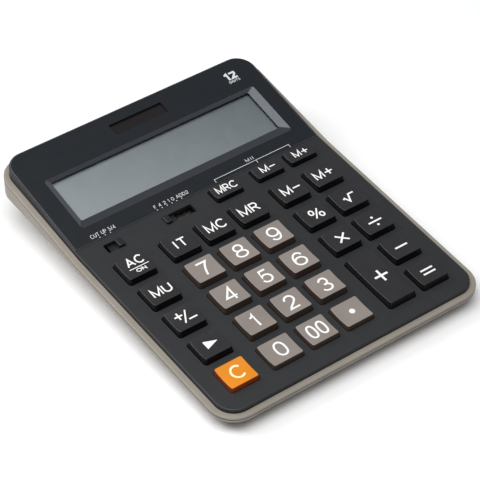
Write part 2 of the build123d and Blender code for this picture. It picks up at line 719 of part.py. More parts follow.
# Leaf contacts of the button cell, both standing on the underside of the board.
cell_y = BATTERY[1]
cell_top = BATTERY_Z + BATTERY_H
board_z = face_z(cell_y) - BOARD_BOTTOM / math.cos(math.radians(FACE_TILT))
leaf = 0.25
with BuildPart() as contact_negative:
    with BuildSketch(Plane.YZ.offset(BATTERY[0] - 1.5)):
        polygon((
            (cell_y + 9.0, face_z(cell_y + 9.0) - 7.70),
            (cell_y + 4.0, face_z(cell_y + 4.0) - 7.70),
            (cell_y - 2.0, cell_top + 0.05 + leaf),
            (cell_y - 3.5, cell_top + 0.35 + leaf),
            (cell_y - 3.5, cell_top + 0.35),
            (cell_y - 2.0, cell_top + 0.05),
            (cell_y + 4.2, face_z(cell_y + 4.0) - 7.70 - leaf),
            (cell_y + 9.0, face_z(cell_y + 9.0) - 7.70 - leaf),
        ))
    extrude(amount=3.0)
save(contact_negative, "contact_negative")

contact_x = BATTERY[0] - BATTERY_R - 0.12
contact_top = board_z - 0.2
with BuildPart() as contact_positive:
    with BuildSketch(Plane.XZ.offset(-cell_y - 1.5)):
        polygon((
            (contact_x - leaf, 5.4),
            (contact_x, 5.4),
            (contact_x, contact_top),
            (contact_x - 6.0, contact_top),
            (contact_x - 6.0, contact_top - leaf),
            (contact_x - leaf, contact_top - leaf),
        ))
    extrude(amount=3.0)
save(contact_positive, "contact_positive")

# ------------------------------------------------------------- rubber membrane
with BuildPart() as one_dome:
    with BuildSketch(Plane.XZ):
        polygon((
            (0, -DOME_TOP),
            (2.0, -DOME_TOP),
            (3.7, -SHEET_TOP + 0.2),
            (3.7, -SHEET_BOTTOM),
            (3.1, -SHEET_BOTTOM),
            (3.1, -SHEET_TOP + 0.1),
            (1.7, -4.1),
            (1.4, -4.1),
            (1.4, -4.8),
            (0, -4.8),
        ))
    revolve(axis=Axis.Z)

with BuildPart() as rubber_sheet:
    slab(KEYPAD, SHEET_TOP, SHEET_BOTTOM, 0, 61.0, 125.0, 98.0, 1.5)
    slab(KEYPAD, SHEET_TOP, SHEET_BOTTOM, 34.0, 116.0, 57.0, 19.0, 1.5)
    with BuildSketch(KEYPAD.offset(-SHEET_TOP)):
        for kx, ks, kw, kd in KEY_OUTLINES:
            with Locations((kx, ks)):
                Circle(3.5)
        with Locations(*BOARD_SCREWS):
            Circle(2.8)
    extrude(amount=-2.0, mode=Mode.SUBTRACT)
    for px, py, seat, mate in CASE_SCREWS[2:4]:
        with BuildSketch(Plane.XY.offset(mate)):
            with Locations((px, py)):
                Circle(3.2)
        extrude(amount=8.0, mode=Mode.SUBTRACT)
    for kx, ks, kw, kd in KEY_OUTLINES:
        add(one_dome.part.moved(KEYPAD.location * Location((kx, ks, 0))))
save(rubber_sheet, "rubber_sheet")


# ------------------------------------------------------------------------ keys
def make_key(name, x, s, base, top, height):
    """Hollow key cap: skirt through the cover, flange under it, dished top and a centre plunger."""
    radius = (top[1] ** 2 / 4 + DISH ** 2) / (2 * DISH)
    side = side_plane(KEYPAD, x, s)
    with BuildPart() as key:
        with BuildSketch(KEYPAD.offset(-KEY_SKIRT)):
            with Locations((x, s)):
                RectangleRounded(base[0], base[1], 1.2)
        extrude(amount=KEY_SKIRT + 0.2)
        with BuildSketch(KEYPAD.offset(0.2)):
            with Locations((x, s)):
                RectangleRounded(base[0], base[1], 1.2)
        with BuildSketch(KEYPAD.offset(height)):
            with Locations((x, s)):
                RectangleRounded(top[0], top[1], 1.0)
        loft(ruled=True)
        with BuildSketch(side):
            with Locations((0, height + radius - DISH)):
                Circle(radius)
        extrude(amount=base[0], both=True, mode=Mode.SUBTRACT)
        crown = [
            e for e in key.edges()
            if KEYPAD.to_local_coords(e.center()).Z > height - DISH - 0.15
        ]
        fillet(crown, 0.3)
        with BuildSketch(KEYPAD.offset(-KEY_SKIRT)):
            with Locations((x, s)):
                RectangleRounded(base[0] + 2 * FLANGE, base[1] + 2 * FLANGE, 1.6)
        extrude(amount=FLANGE_T)
        with BuildSketch(KEYPAD.offset(-KEY_SKIRT)):
            with Locations((x, s)):
                RectangleRounded(base[0] - 2 * KEY_WALL, base[1] - 2 * KEY_WALL, 0.5)
        extrude(amount=KEY_SKIRT + height - DISH - 1.3, mode=Mode.SUBTRACT)
        with BuildSketch(KEYPAD.offset(-1.6)):
            with Locations((x, s)):
                Rectangle(base[0] - 2, 0.9)
                Rectangle(0.9, base[1] - 2)
        extrude(amount=1.6 + height - DISH - 1.2)
        with BuildSketch(KEYPAD.offset(-DOME_TOP + 0.1)):
            with Locations((x, s)):
                Circle(1.7)
        extrude(amount=DOME_TOP - 0.1 + height - DISH - 1.2)
    save(key, name)


GRID_NAMES = (
    ("key_clear", "key_0", "key_00", "key_point", None, "key_equals"),
    ("key_backspace", "key_1", "key_2", "key_3", None, "key_minus"),
    ("key_sign", "key_4", "key_5", "key_6", "key_multiply", "key_divide"),
    ("key_markup", "key_7", "key_8", "key_9", "key_percent", "key_root"),
    ("key_all_clear", "key_item_count", "key_memory_clear", "key_memory_recall",
     "key_memory_minus", "key_memory_plus"),
)
for row_index, names in enumerate(GRID_NAMES):
    for col_index, key_name in enumerate(names):
        if key_name is None:
            continue
        low = row_index == 0 and col_index < 4
        extra = ZERO_EXTRA if key_name == "key_0" else 0.0
        make_key(
            key_name,
            ZERO_X if key_name == "key_0" else COLS[col_index],
            ROWS[row_index],
            (KEY_BASE[0] + extra, KEY_BASE[1]),
            ((LOW_TOP[0] if low else KEY_TOP[0]) + extra, LOW_TOP[1] if low else KEY_TOP[1]),
            LOW_H if low else KEY_H,
        )
make_key("key_plus", COLS[4], PLUS_S, PLUS_BASE, PLUS_TOP, KEY_H)
for key_name, col_x in zip(("key_second_recall", "key_second_minus", "key_second_plus"), COLS[3:]):
    make_key(key_name, col_x + 0.2, SMALL_ROW, SMALL_BASE, SMALL_TOP, SMALL_H)


# -------------------------------------------------------------- slide switches
def make_slide(knob_name, wiper_name, x):
    """Slide knob with its guide plate and contact carrier, and the leaf wiper below it."""
    with BuildPart() as knob:
        slab(KEYPAD, -1.3, 2.0, x, SLOT_S, KNOB_W, KNOB_H, 0.7)
        tip = knob.faces().filter_by(KEYPAD).sort_by(Axis.Z)[-1]
        fillet(tip.edges(), 0.5)
        slab(KEYPAD, 2.0, 3.0, x, SLOT_S, 11.0, 7.9, 0.6)
        slab(KEYPAD, 3.0, 5.2, x, SLOT_S, 5.0, 4.6)
    save(knob, knob_name)
    with BuildPart() as wiper:
        with BuildSketch(side_plane(KEYPAD, x - 1.6, SLOT_S)):
            polygon((
                (-2.2, -5.2), (2.2, -5.2), (4.2, -6.15), (4.6, -6.1), (4.6, -6.3), (4.1, -6.37),
                (2.1, -5.4), (-2.1, -5.4), (-4.1, -6.37), (-4.6, -6.3), (-4.6, -6.1), (-4.2, -6.15),
            ))
        extrude(amount=1.2)
        with BuildSketch(side_plane(KEYPAD, x + 0.4, SLOT_S)):
            polygon((
                (-2.2, -5.2), (2.2, -5.2), (4.2, -6.15), (4.6, -6.1), (4.6, -6.3), (4.1, -6.37),
                (2.1, -5.4), (-2.1, -5.4), (-4.1, -6.37), (-4.6, -6.3), (-4.6, -6.1), (-4.2, -6.15),
            ))
        extrude(amount=1.2)
        slab(KEYPAD, 5.2, 5.4, x, SLOT_S, 3.2, 3.6)
    save(wiper, wiper_name)


make_slide("rounding_switch", "rounding_wiper", ROUND_SLOT[1] - END_GAP - KNOB_W / 2)
make_slide("decimal_switch", "decimal_wiper", DECIMAL_SLOT[0] + END_GAP + KNOB_W / 2)
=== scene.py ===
"""Desk calculator: materials, printed legends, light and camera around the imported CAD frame."""
import math
import bpy
from mathutils import Matrix, Vector
from mathutils.bvhtree import BVHTree


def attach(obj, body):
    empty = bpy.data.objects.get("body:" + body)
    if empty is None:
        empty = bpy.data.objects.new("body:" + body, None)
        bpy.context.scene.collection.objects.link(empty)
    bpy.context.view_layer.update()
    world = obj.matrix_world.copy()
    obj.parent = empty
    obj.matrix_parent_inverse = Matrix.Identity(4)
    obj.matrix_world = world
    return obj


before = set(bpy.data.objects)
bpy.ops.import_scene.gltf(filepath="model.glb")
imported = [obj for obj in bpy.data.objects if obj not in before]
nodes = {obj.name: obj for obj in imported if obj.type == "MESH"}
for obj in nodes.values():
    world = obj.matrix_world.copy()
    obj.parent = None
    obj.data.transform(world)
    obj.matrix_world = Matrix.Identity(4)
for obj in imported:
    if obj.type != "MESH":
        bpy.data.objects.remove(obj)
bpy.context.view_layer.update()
scene = bpy.context.scene

MM = 0.001
FACE_TILT = math.radians(4.1)
PANEL_TILT = math.radians(12.0)
DATUM_Y = -96.0          # line from which the keypad slope is measured, mm
FACE_Z = 10.8            # height of the keypad surface at that line
KINK_Y = 26.0            # where the keypad slope meets the display slope
INK_RISE = 0.03          # printed legends stand this far above the plastic, mm
INK_STEP = 0.003         # each next stroke stands this much higher, so crossings don't flicker
INK_SINK = 0.05          # and reach this far below its surface
PROBE_HEIGHT = 12.0      # surfaces are found by rays that start this far above a slope


class Slope:
    """A sloping surface: x across, s up the slope and h along the normal, all in millimetres."""

    def __init__(self, y, z, tilt):
        self.origin = Vector((0.0, y, z)) * MM
        self.along = Vector((0.0, math.cos(tilt), math.sin(tilt)))
        self.normal = Vector((0.0, -math.sin(tilt), math.cos(tilt)))

    def point(self, x, s, h):
        return self.origin + Vector((x, 0.0, 0.0)) * MM + self.along * s * MM + self.normal * h * MM

    def local(self, p):
        d = p - self.origin
        return d.x / MM, d.dot(self.along) / MM, d.dot(self.normal) / MM


KEYPAD = Slope(DATUM_Y, FACE_Z, FACE_TILT)
PANEL = Slope(KINK_Y, FACE_Z + (KINK_Y - DATUM_Y) * math.tan(FACE_TILT), PANEL_TILT)


# ------------------------------------------------------------------- materials
def srgb(r, g, b):
    """Linear colour from 0-255 display values."""
    def lin(c):
        c = c / 255.0
        return c / 12.92 if c <= 0.04045 else ((c + 0.055) / 1.055) ** 2.4
    return (lin(r), lin(g), lin(b), 1.0)


def shade(c, k):
    """The same colour k times as bright."""
    return (c[0] * k, c[1] * k, c[2] * k, 1.0)


class Mat:
    """Small builder for one procedural Principled material."""

    def __init__(self, name):
        self.m = bpy.data.materials.new(name)
        self.m.use_nodes = True
        self.t = self.m.node_tree
        self.t.nodes.clear()
        self.out = self.t.nodes.new("ShaderNodeOutputMaterial")
        self.bsdf = self.t.nodes.new("ShaderNodeBsdfPrincipled")
        self.t.links.new(self.bsdf.outputs[0], self.out.inputs[0])
        self.coord = self.t.nodes.new("ShaderNodeTexCoord")

    def node(self, kind, **values):
        n = self.t.nodes.new("ShaderNode" + kind)
        for k, v in values.items():
            setattr(n, k, v)
        return n

    def link(self, a, b):
        self.t.links.new(a, b)

    def put(self, **sockets):
        for k, v in sockets.items():
            self.bsdf.inputs[k.replace("_", " ")].default_value = v

    def noise(self, size_mm, detail=2.0, rough=0.5, stretch=(1, 1, 1)):
        """Noise in the object's own space; features of about this size."""
        mp = self.node("Mapping")
        mp.inputs["Scale"].default_value = stretch
        self.link(self.coord.outputs["Object"], mp.inputs["Vector"])
        n = self.node("TexNoise")
        n.inputs["Scale"].default_value = 1.0 / (size_mm * MM)
        n.inputs["Detail"].default_value = detail
        n.inputs["Roughness"].default_value = rough
        self.link(mp.outputs[0], n.inputs["Vector"])
        return n.outputs["Fac"]

    def ramp(self, fac, a, b, lo=0.3, hi=0.7):
        """Number running from a to b while fac runs from lo to hi."""
        r = self.node("MapRange")
        r.inputs["From Min"].default_value = lo
        r.inputs["From Max"].default_value = hi
        r.inputs["To Min"].default_value = a
        r.inputs["To Max"].default_value = b
        self.link(fac, r.inputs["Value"])
        return r.outputs[0]

    def mix(self, fac, a, b):
        """Colour a at fac 0 and b at fac 1; either may be a socket."""
        n = self.node("Mix", data_type="RGBA")
        self.link(fac, n.inputs["Factor"])
        for v, s in ((a, n.inputs[6]), (b, n.inputs[7])):
            if isinstance(v, tuple):
                s.default_value = v
            else:
                self.link(v, s)
        return n.outputs[2]

    def maths(self, op, a, b=0.0):
        n = self.node("Math", operation=op)
        for v, s in ((a, n.inputs[0]), (b, n.inputs[1])):
            if isinstance(v, (int, float)):
                s.default_value = v
            else:
                self.link(v, s)
        return n.outputs[0]

    def facing(self, direction, lo, hi):
        """0 to 1 as the object's own surface normal turns to a direction."""
        n = self.node("VectorMath", operation="DOT_PRODUCT")
        self.link(self.coord.outputs["Normal"], n.inputs[0])
        n.inputs[1].default_value = direction
        return self.ramp(n.outputs["Value"], 0.0, 1.0, lo, hi)

    def axis(self, which):
        n = self.node("SeparateXYZ")
        self.link(self.coord.outputs["Object"], n.inputs[0])
        return n.outputs[which]

    def colour(self, socket):
        self.link(socket, self.bsdf.inputs["Base Color"])

    def rough(self, socket):
        self.link(socket, self.bsdf.inputs["Roughness"])

    def bump(self, socket, depth_mm, strength=1.0):
        b = self.node("Bump")
        b.inputs["Strength"].default_value = strength
        b.inputs["Distance"].default_value = depth_mm * MM
        self.link(socket, b.inputs["Height"])
        self.link(b.outputs[0], self.bsdf.inputs["Normal"])


def plastic(name, colour, rough=0.5, vary=0.06, grain=0.35, depth=0.01, spread=0.08,
            specular=0.5, side=None, bevel_painted_light=None, speck=0.0):
    """Moulded plastic: fine spark-eroded grain, slight tone drift and uneven gloss; side walls can get
    painted shade, and a window funnel painted reflection and painted shade.
    """
    m = Mat(name)
    drift = m.noise(14.0, 3.0)
    fine = m.noise(grain, 2.0, 0.6)
    base = m.mix(m.ramp(drift, 0.0, 1.0, 0.35, 0.65), shade(colour, 1 - vary), shade(colour, 1 + vary))
    if speck:
        base = m.mix(m.ramp(fine, 0.0, speck, 0.5, 0.72), base, shade(colour, 1.7))
    # Faces that turn away from the keypad slope get the darker side colour: painted shade on the key walls.
    if side:
        base = m.mix(m.facing(KEYPAD.normal, 0.55, 0.9), side, base)
    if bevel_painted_light:
        # Painted light on the window funnel: its steep sloping faces and edge chamfers are paler as painted
        # reflection, its shallow front slope gets a third of that as painted shade, and upright faces such
        # as its foot are dark, painted shade.
        base = m.mix(m.facing(PANEL.normal, 0.95, 0.985), shade(bevel_painted_light, 0.33), base)
        base = m.mix(m.facing(PANEL.normal, 0.86, 0.90), bevel_painted_light, base)
        base = m.mix(m.facing(PANEL.normal, 0.2, 0.3), shade(colour, 0.5), base)
    m.colour(base)
    wipe = m.noise(5.0, 4.0, 0.65, (1.0, 0.35, 1.0))
    m.rough(m.ramp(m.maths("ADD", wipe, fine), rough - spread, rough + spread, 0.7, 1.3))
    m.bump(fine, depth)
    m.put(Specular_IOR_Level=specular)
    return m.m


HOUSING = plastic("housing_black_plastic", srgb(30, 31, 34), 0.52, 0.06, 0.30, 0.012, 0.06, 0.5, speck=0.10)
# The bevel colour is painted reflection on the sloping faces of the display window funnel.
PANEL_MAT = plastic("panel_satin_plastic", srgb(22, 26, 31), 0.30, 0.03, 0.22, 0.002, 0.03, 0.5,
                    bevel_painted_light=srgb(84, 86, 95))
CASE = plastic("case_taupe_plastic", srgb(142, 135, 125), 0.46, 0.04, 0.32, 0.010, 0.06, 0.5)
# The side colours of the keys are painted shade on their walls, not a second plastic.
KEY_BLACK = plastic("black_key_plastic", srgb(39, 39, 42), 0.34, 0.06, 0.45, 0.003, 0.07, 0.5,
                    side=srgb(6, 6, 7))
KEY_TAUPE = plastic("taupe_key_plastic", srgb(136, 127, 121), 0.38, 0.04, 0.45, 0.003, 0.06, 0.5,
                    side=srgb(60, 49, 43))
KEY_ORANGE = plastic("orange_key_plastic", srgb(222, 134, 20), 0.36, 0.05, 0.45, 0.003, 0.06, 0.5,
                     side=srgb(128, 52, 12))
KNOB = plastic("black_knob_plastic", srgb(26, 26, 28), 0.38, 0.06, 0.30, 0.004, 0.06, 0.5)
FRAME_WHITE = plastic("light_frame_plastic", srgb(205, 204, 198), 0.5, 0.03, 0.4, 0.004)
RUBBER_FOOT = plastic("black_rubber", srgb(28, 28, 29), 0.78, 0.08, 0.25, 0.015, 0.06, 0.3)
RUBBER_SHEET = plastic("grey_silicone_rubber", srgb(150, 150, 152), 0.6, 0.03, 0.5, 0.004)
EPOXY = plastic("black_epoxy", srgb(14, 14, 15), 0.22, 0.05, 1.5, 0.02)


def ink(name, colour, rough=0.42):
    """Printed legend: slightly uneven ink film."""
    m = Mat(name)
    cloud = m.noise(0.9, 2.0)
    m.colour(m.mix(m.ramp(cloud, 0.0, 1.0), shade(colour, 0.94), colour))
    m.rough(m.ramp(cloud, rough - 0.06, rough + 0.06))
    m.bump(m.noise(0.12, 1.0), 0.002)
    return m.m


INK_WHITE = ink("white_ink", srgb(247, 246, 243))
INK_CREAM = ink("cream_ink", srgb(255, 238, 196))
INK_PANEL = ink("panel_ink", srgb(214, 216, 218))


def display_glass():
    """Blank grey display: reflective polariser, with a painted highlight that makes it lighter near its
    front left corner.
    """
    m = Mat("display_glass")
    # Painted highlight: the colour turns lighter towards the front left, with a little random cloud on top.
    highlight_slant = m.maths("ADD", m.axis(0), m.maths("MULTIPLY", m.axis(1), 1.35))
    tone = m.ramp(highlight_slant, 0.0, 1.0, -0.01, 0.155)
    cloud = m.noise(9.0, 2.0)
    tone = m.maths("ADD", tone, m.ramp(cloud, -0.04, 0.04))
    m.colour(m.mix(tone, srgb(172, 181, 184), srgb(116, 126, 131)))
    m.rough(m.ramp(m.noise(1.5, 2.0), 0.30, 0.36))
    m.bump(m.noise(0.4, 1.0), 0.0002)
    return m.m


def clear_lens(name, tint, open_alpha):
    """Thin clear window: see-through, with a gloss that grows at a flat angle."""
    m = Mat(name)
    m.put(Base_Color=tint, Specular_IOR_Level=0.5)
    lw = m.node("LayerWeight")
    lw.inputs["Blend"].default_value = 0.25
    m.link(m.ramp(lw.outputs["Fresnel"], open_alpha, 0.9, 0.0, 1.0), m.bsdf.inputs["Alpha"])
    m.rough(m.ramp(m.noise(6.0, 3.0), 0.03, 0.07))
    return m.m


def solar_face():
    """Amorphous solar cell: dark brown-red strips with thin pale gaps."""
    m = Mat("solar_cell_face")
    w = m.node("TexWave", wave_type="BANDS", bands_direction="X", wave_profile="SIN")
    w.inputs["Scale"].default_value = 1.0 / (8.0 * MM)
    w.inputs["Distortion"].default_value = 0.0
    m.link(m.coord.outputs["Object"], w.inputs["Vector"])
    line = m.ramp(w.outputs["Fac"], 1.0, 0.0, 0.0, 0.02)
    base = m.mix(m.ramp(m.noise(3.0, 3.0), 0.0, 1.0), srgb(38, 20, 19), srgb(46, 26, 24))
    m.colour(m.mix(line, base, srgb(84, 70, 62)))
    m.rough(m.ramp(m.noise(1.0), 0.18, 0.3))
    m.bump(line, 0.01)
    return m.m


def metal(name, colour, rough, brush=(1, 12, 1), size=2.0):
    """Plated metal with faint directional polish."""
    m = Mat(name)
    lines = m.noise(size, 3.0, 0.6, brush)
    m.colour(m.mix(m.ramp(lines, 0.0, 1.0), shade(colour, 0.85), colour))
    m.rough(m.ramp(lines, rough - 0.06, rough + 0.08))
    m.put(Metallic=1.0)
    m.bump(lines, 0.004)
    return m.m


def board_face():
    """Circuit board: grey carbon print on the side under the keys, green mask below."""
    m = Mat("printed_board")
    v = m.node("TexVoronoi", feature="DISTANCE_TO_EDGE", distance="MANHATTAN")
    v.inputs["Scale"].default_value = 1.0 / (5.0 * MM)
    m.link(m.coord.outputs["Object"], v.inputs["Vector"])
    track = m.ramp(v.outputs["Distance"], 1.0, 0.0, 0.06, 0.09)
    base = m.mix(m.ramp(m.noise(6.0), 0.0, 1.0), srgb(32, 92, 52), srgb(40, 104, 60))
    under = m.mix(track, base, srgb(66, 138, 80))
    over = m.mix(track, srgb(70, 71, 70), srgb(92, 92, 90))
    m.colour(m.mix(m.facing(KEYPAD.normal, 0.0, 0.2), under, over))
    m.rough(m.ramp(m.noise(0.8), 0.32, 0.42))
    m.bump(track, 0.03)
    return m.m


def label_face():
    """Silvery paper label with thin printed rules and no words."""
    m = Mat("rating_label")
    w = m.node("TexWave", wave_type="BANDS", bands_direction="Y", wave_profile="SIN")
    w.inputs["Scale"].default_value = 1.0 / (13.0 * MM)
    m.link(m.coord.outputs["Object"], w.inputs["Vector"])
    rule = m.ramp(w.outputs["Fac"], 1.0, 0.0, 0.0, 0.025)
    base = m.mix(m.ramp(m.noise(7.0), 0.0, 1.0), srgb(192, 193, 194), srgb(206, 207, 208))
    m.colour(m.mix(rule, base, srgb(96, 98, 100)))
    m.rough(m.ramp(m.noise(0.5), 0.36, 0.5))
    m.bump(m.noise(0.3), 0.004)
    return m.m


def ribbon_face():
    """Cream film with dark printed lines along its length."""
    m = Mat("heat_seal_ribbon")
    w = m.node("TexWave", wave_type="BANDS", bands_direction="X", wave_profile="SIN")
    w.inputs["Scale"].default_value = 1.0 / (3.72 * MM)
    m.link(m.coord.outputs["Object"], w.inputs["Vector"])
    line = m.ramp(w.outputs["Fac"], 0.0, 1.0, 0.45, 0.55)
    m.colour(m.mix(line, srgb(206, 190, 150), srgb(60, 58, 56)))
    m.rough(m.ramp(m.noise(1.0), 0.4, 0.5))
    m.bump(line, 0.01)
    return m.m


def wire_face():
    """Insulated wires, red on one side and black on the other."""
    m = Mat("wire_insulation")
    side = m.ramp(m.axis(0), 0.0, 1.0, -0.001, 0.001)
    m.colour(m.mix(side, srgb(28, 28, 30), srgb(176, 30, 26)))
    m.rough(m.ramp(m.noise(1.0), 0.36, 0.5))
    m.bump(m.noise(0.4), 0.004)
    return m.m


STEEL = metal("plated_steel", (0.62, 0.62, 0.63, 1.0), 0.32)
CELL = metal("cell_can", (0.72, 0.72, 0.72, 1.0), 0.22, (1, 1, 8), 1.5)
BRASS = metal("spring_bronze", (0.78, 0.60, 0.32, 1.0), 0.28)
LCD = display_glass()
LENS = clear_lens("display_lens", (0.02, 0.02, 0.02, 1.0), 0.03)
SOLAR_LENS = clear_lens("solar_lens", (0.014, 0.011, 0.012, 1.0), 0.95)
SOLAR = solar_face()
BOARD = board_face()
LABEL = label_face()
RIBBON = ribbon_face()
WIRES = wire_face()
PARTS = plastic("board_component", srgb(60, 54, 48), 0.4, 0.15, 2.0, 0.004)

BLACK_KEYS = (
    "key_backspace", "key_minus", "key_sign", "key_multiply", "key_divide", "key_markup", "key_percent",
    "key_root", "key_all_clear", "key_item_count", "key_memory_clear", "key_memory_recall",
    "key_memory_minus", "key_memory_plus", "key_plus", "key_equals", "key_second_recall",
    "key_second_minus", "key_second_plus",
)
TAUPE_KEYS = tuple("key_" + k for k in ("0", "00", "point", "1", "2", "3", "4", "5", "6", "7", "8", "9"))
FINISH = {
    "top_cover": HOUSING, "display_panel": PANEL_MAT, "bottom_case": CASE, "battery_door": CASE,
    "button_cell": CELL, "rubber_feet": RUBBER_FOOT, "rating_label": LABEL, "case_screws": STEEL,
    "door_screw": STEEL, "lcd_lens": LENS, "lcd_glass": LCD, "lcd_frame": FRAME_WHITE,
    "solar_window": SOLAR_LENS, "solar_cell": SOLAR, "main_board": BOARD, "chip_cover": EPOXY,
    "board_parts": PARTS, "inner_screws": STEEL, "display_ribbon": RIBBON, "solar_wires": WIRES,
    "contact_negative": BRASS, "contact_positive": BRASS, "rubber_sheet": RUBBER_SHEET,
    "rounding_switch": KNOB, "rounding_wiper": BRASS, "decimal_switch": KNOB, "decimal_wiper": BRASS,
    "key_clear": KEY_ORANGE,
}
FINISH.update({k: KEY_BLACK for k in BLACK_KEYS})
FINISH.update({k: KEY_TAUPE for k in TAUPE_KEYS})
for name, obj in nodes.items():
    obj.data.materials.clear()
    obj.data.materials.append(FINISH[name])


# ---------------------------------------------------------------- legend glyphs
def arc(cx, cy, rx, ry, a0, a1, step=9.0, power=1.0):
    """Points along an ellipse from angle a0 to a1; power under 1 squares it off."""
    n = max(3, int(abs(a1 - a0) / step))
    pts = []
    for i in range(n + 1):
        a = math.radians(a0 + (a1 - a0) * i / n)
        c, s = math.cos(a), math.sin(a)
        pts.append((
            cx + rx * math.copysign(abs(c) ** power, c),
            cy + ry * math.copysign(abs(s) ** power, s),
        ))
    return pts


# Each glyph: width in cap heights, then centre-line strokes on a cap height of 1.
GLYPHS = {
    "0": (0.66, [arc(0.33, 0.5, 0.33, 0.5, 90, 450, 8, 0.86)]),
    "1": (0.26, [[(0.0, 0.80), (0.12, 0.83), (0.21, 0.90), (0.26, 1.0), (0.26, 0.0)]]),
    "2": (0.64, [arc(0.33, 0.71, 0.31, 0.29, 175, -28)
                 + [(0.40, 0.37), (0.12, 0.17), (0.0, 0.0), (0.64, 0.0)]]),
    "3": (0.64, [arc(0.31, 0.75, 0.27, 0.25, 165, -90) + [(0.24, 0.50)],
                 [(0.24, 0.52)] + arc(0.31, 0.26, 0.33, 0.26, 90, -168)]),
    "4": (0.72, [[(0.54, 0.0), (0.54, 1.0), (0.0, 0.27), (0.72, 0.27)]]),
    "5": (0.64, [[(0.57, 1.0), (0.13, 1.0), (0.06, 0.50)] + arc(0.31, 0.32, 0.33, 0.32, 135, -165)]),
    "6": (0.66, [arc(0.33, 0.32, 0.33, 0.32, 180, -180),
                 arc(0.35, 0.46, 0.35, 0.54, 195, 38)]),
    "7": (0.66, [[(0.0, 1.0), (0.66, 1.0), (0.50, 0.78), (0.36, 0.50), (0.26, 0.22), (0.20, 0.0)]]),
    "8": (0.66, [arc(0.33, 0.76, 0.26, 0.24, 270, -90), arc(0.33, 0.265, 0.33, 0.265, 90, 450)]),
    "9": (0.66, [arc(0.33, 0.68, 0.33, 0.32, 0, 360),
                 arc(0.31, 0.54, 0.35, 0.54, 15, -142)]),
    "A": (0.86, [[(0.0, 0.0), (0.43, 1.0), (0.86, 0.0)], [(0.15, 0.32), (0.71, 0.32)]]),
    "C": (0.86, [arc(0.46, 0.5, 0.46, 0.5, 42, 318)]),
    "D": (0.74, [[(0.0, 0.0), (0.0, 1.0), (0.30, 1.0)] + arc(0.30, 0.5, 0.44, 0.5, 90, -90) + [(0.0, 0.0)]]),
    "F": (0.58, [[(0.58, 1.0), (0.0, 1.0), (0.0, 0.0)], [(0.0, 0.52), (0.50, 0.52)]]),
    "G": (0.86, [arc(0.46, 0.5, 0.46, 0.5, 42, 340) + [(0.88, 0.44), (0.52, 0.44)]]),
    "I": (0.0, [[(0.0, 0.0), (0.0, 1.0)]]),
    "M": (0.90, [[(0.0, 0.0), (0.0, 1.0), (0.45, 0.05), (0.90, 1.0), (0.90, 0.0)]]),
    "N": (0.74, [[(0.0, 0.0), (0.0, 1.0), (0.74, 0.0), (0.74, 1.0)]]),
    "O": (0.94, [arc(0.47, 0.5, 0.47, 0.5, 90, 450)]),
    "P": (0.62, [[(0.0, 0.0), (0.0, 1.0), (0.36, 1.0)] + arc(0.36, 0.74, 0.26, 0.26, 90, -90)
                 + [(0.0, 0.48)]]),
    "R": (0.68, [[(0.0, 0.0), (0.0, 1.0), (0.38, 1.0)] + arc(0.38, 0.74, 0.26, 0.26, 90, -90)
                 + [(0.0, 0.48)], [(0.36, 0.48), (0.68, 0.0)]]),
    "S": (0.62, [arc(0.31, 0.75, 0.29, 0.25, 25, 270) + arc(0.31, 0.25, 0.31, 0.25, 90, -155)]),
    "T": (0.76, [[(0.0, 1.0), (0.76, 1.0)], [(0.38, 1.0), (0.38, 0.0)]]),
    "U": (0.74, [[(0.0, 1.0)] + arc(0.37, 0.36, 0.37, 0.36, 180, 360) + [(0.74, 1.0)]]),
    "+": (0.84, [[(0.0, 0.5), (0.84, 0.5)], [(0.42, 0.08), (0.42, 0.92)]]),
    "-": (0.80, [[(0.0, 0.5), (0.80, 0.5)]]),
    "/": (0.42, [[(0.0, -0.05), (0.42, 1.05)]]),
    " ": (0.30, []),
}
GAP = 0.30               # between letters, in cap heights


def lay_out(text, width, height, stroke, gap=GAP):
    """Centre-line strokes of a line of text that fills a box, about its centre."""
    natural = sum(GLYPHS[c][0] for c in text) + gap * (len(text) - 1)
    cap = height - stroke
    sx = (width - stroke) / natural if natural > 0 else 1.0
    lines, pen = [], 0.0
    for c in text:
        w, strokes = GLYPHS[c]
        for line in strokes:
            lines.append([((pen + px) * sx - (width - stroke) / 2, py * cap - cap / 2) for px, py in line])
        pen += w + gap
    return lines


def stations(line, stroke, step=0.45):
    """Left and right edge points along a centre line, mitred at its corners, in short lengths."""
    closed = (Vector(line[0]) - Vector(line[-1])).length < 1e-6
    pts = [Vector(line[0])]
    for before, here in zip(line, line[1:]):
        if (Vector(here) - Vector(before)).length > 1e-4:
            pts.append(Vector(here))
    if closed:
        pts = pts[:-1]
    n = len(pts)
    sides = []
    for i in range(n):
        before = pts[i] - pts[i - 1] if (i > 0 or closed) else None
        after = pts[(i + 1) % n] - pts[i] if (i < n - 1 or closed) else None
        d0 = (before or after).normalized()
        d1 = (after or before).normalized()
        mid = d0 + d1
        mid = mid.normalized() if mid.length > 0.2 else d1
        out = Vector((-mid.y, mid.x))
        reach = stroke / 2 / max(0.34, out.dot(Vector((-d1.y, d1.x))))
        sides.append((pts[i] + out * reach, pts[i] - out * reach))
    if closed:
        sides.append(sides[0])
    fine = [sides[0]]
    for (l0, r0), (l1, r1) in zip(sides, sides[1:]):
        k = max(1, int(((l1 + r1) / 2 - (l0 + r0) / 2).length / step))
        for j in range(1, k + 1):
            t = j / k
            fine.append((l0.lerp(l1, t), r0.lerp(r1, t)))
    if closed:
        fine.pop()
    return fine, closed


def disc(cx, cy, r, step=0.15):
    """Filled dot."""
    n = max(6, int(2 * r / step))
    ladder = []
    for i in range(n + 1):
        a = -math.pi / 2 + math.pi * i / n
        half = max(r * math.cos(a), 0.01)
        y = cy + r * math.sin(a)
        ladder.append((Vector((cx - half, y)), Vector((cx + half, y))))
    return ladder, False


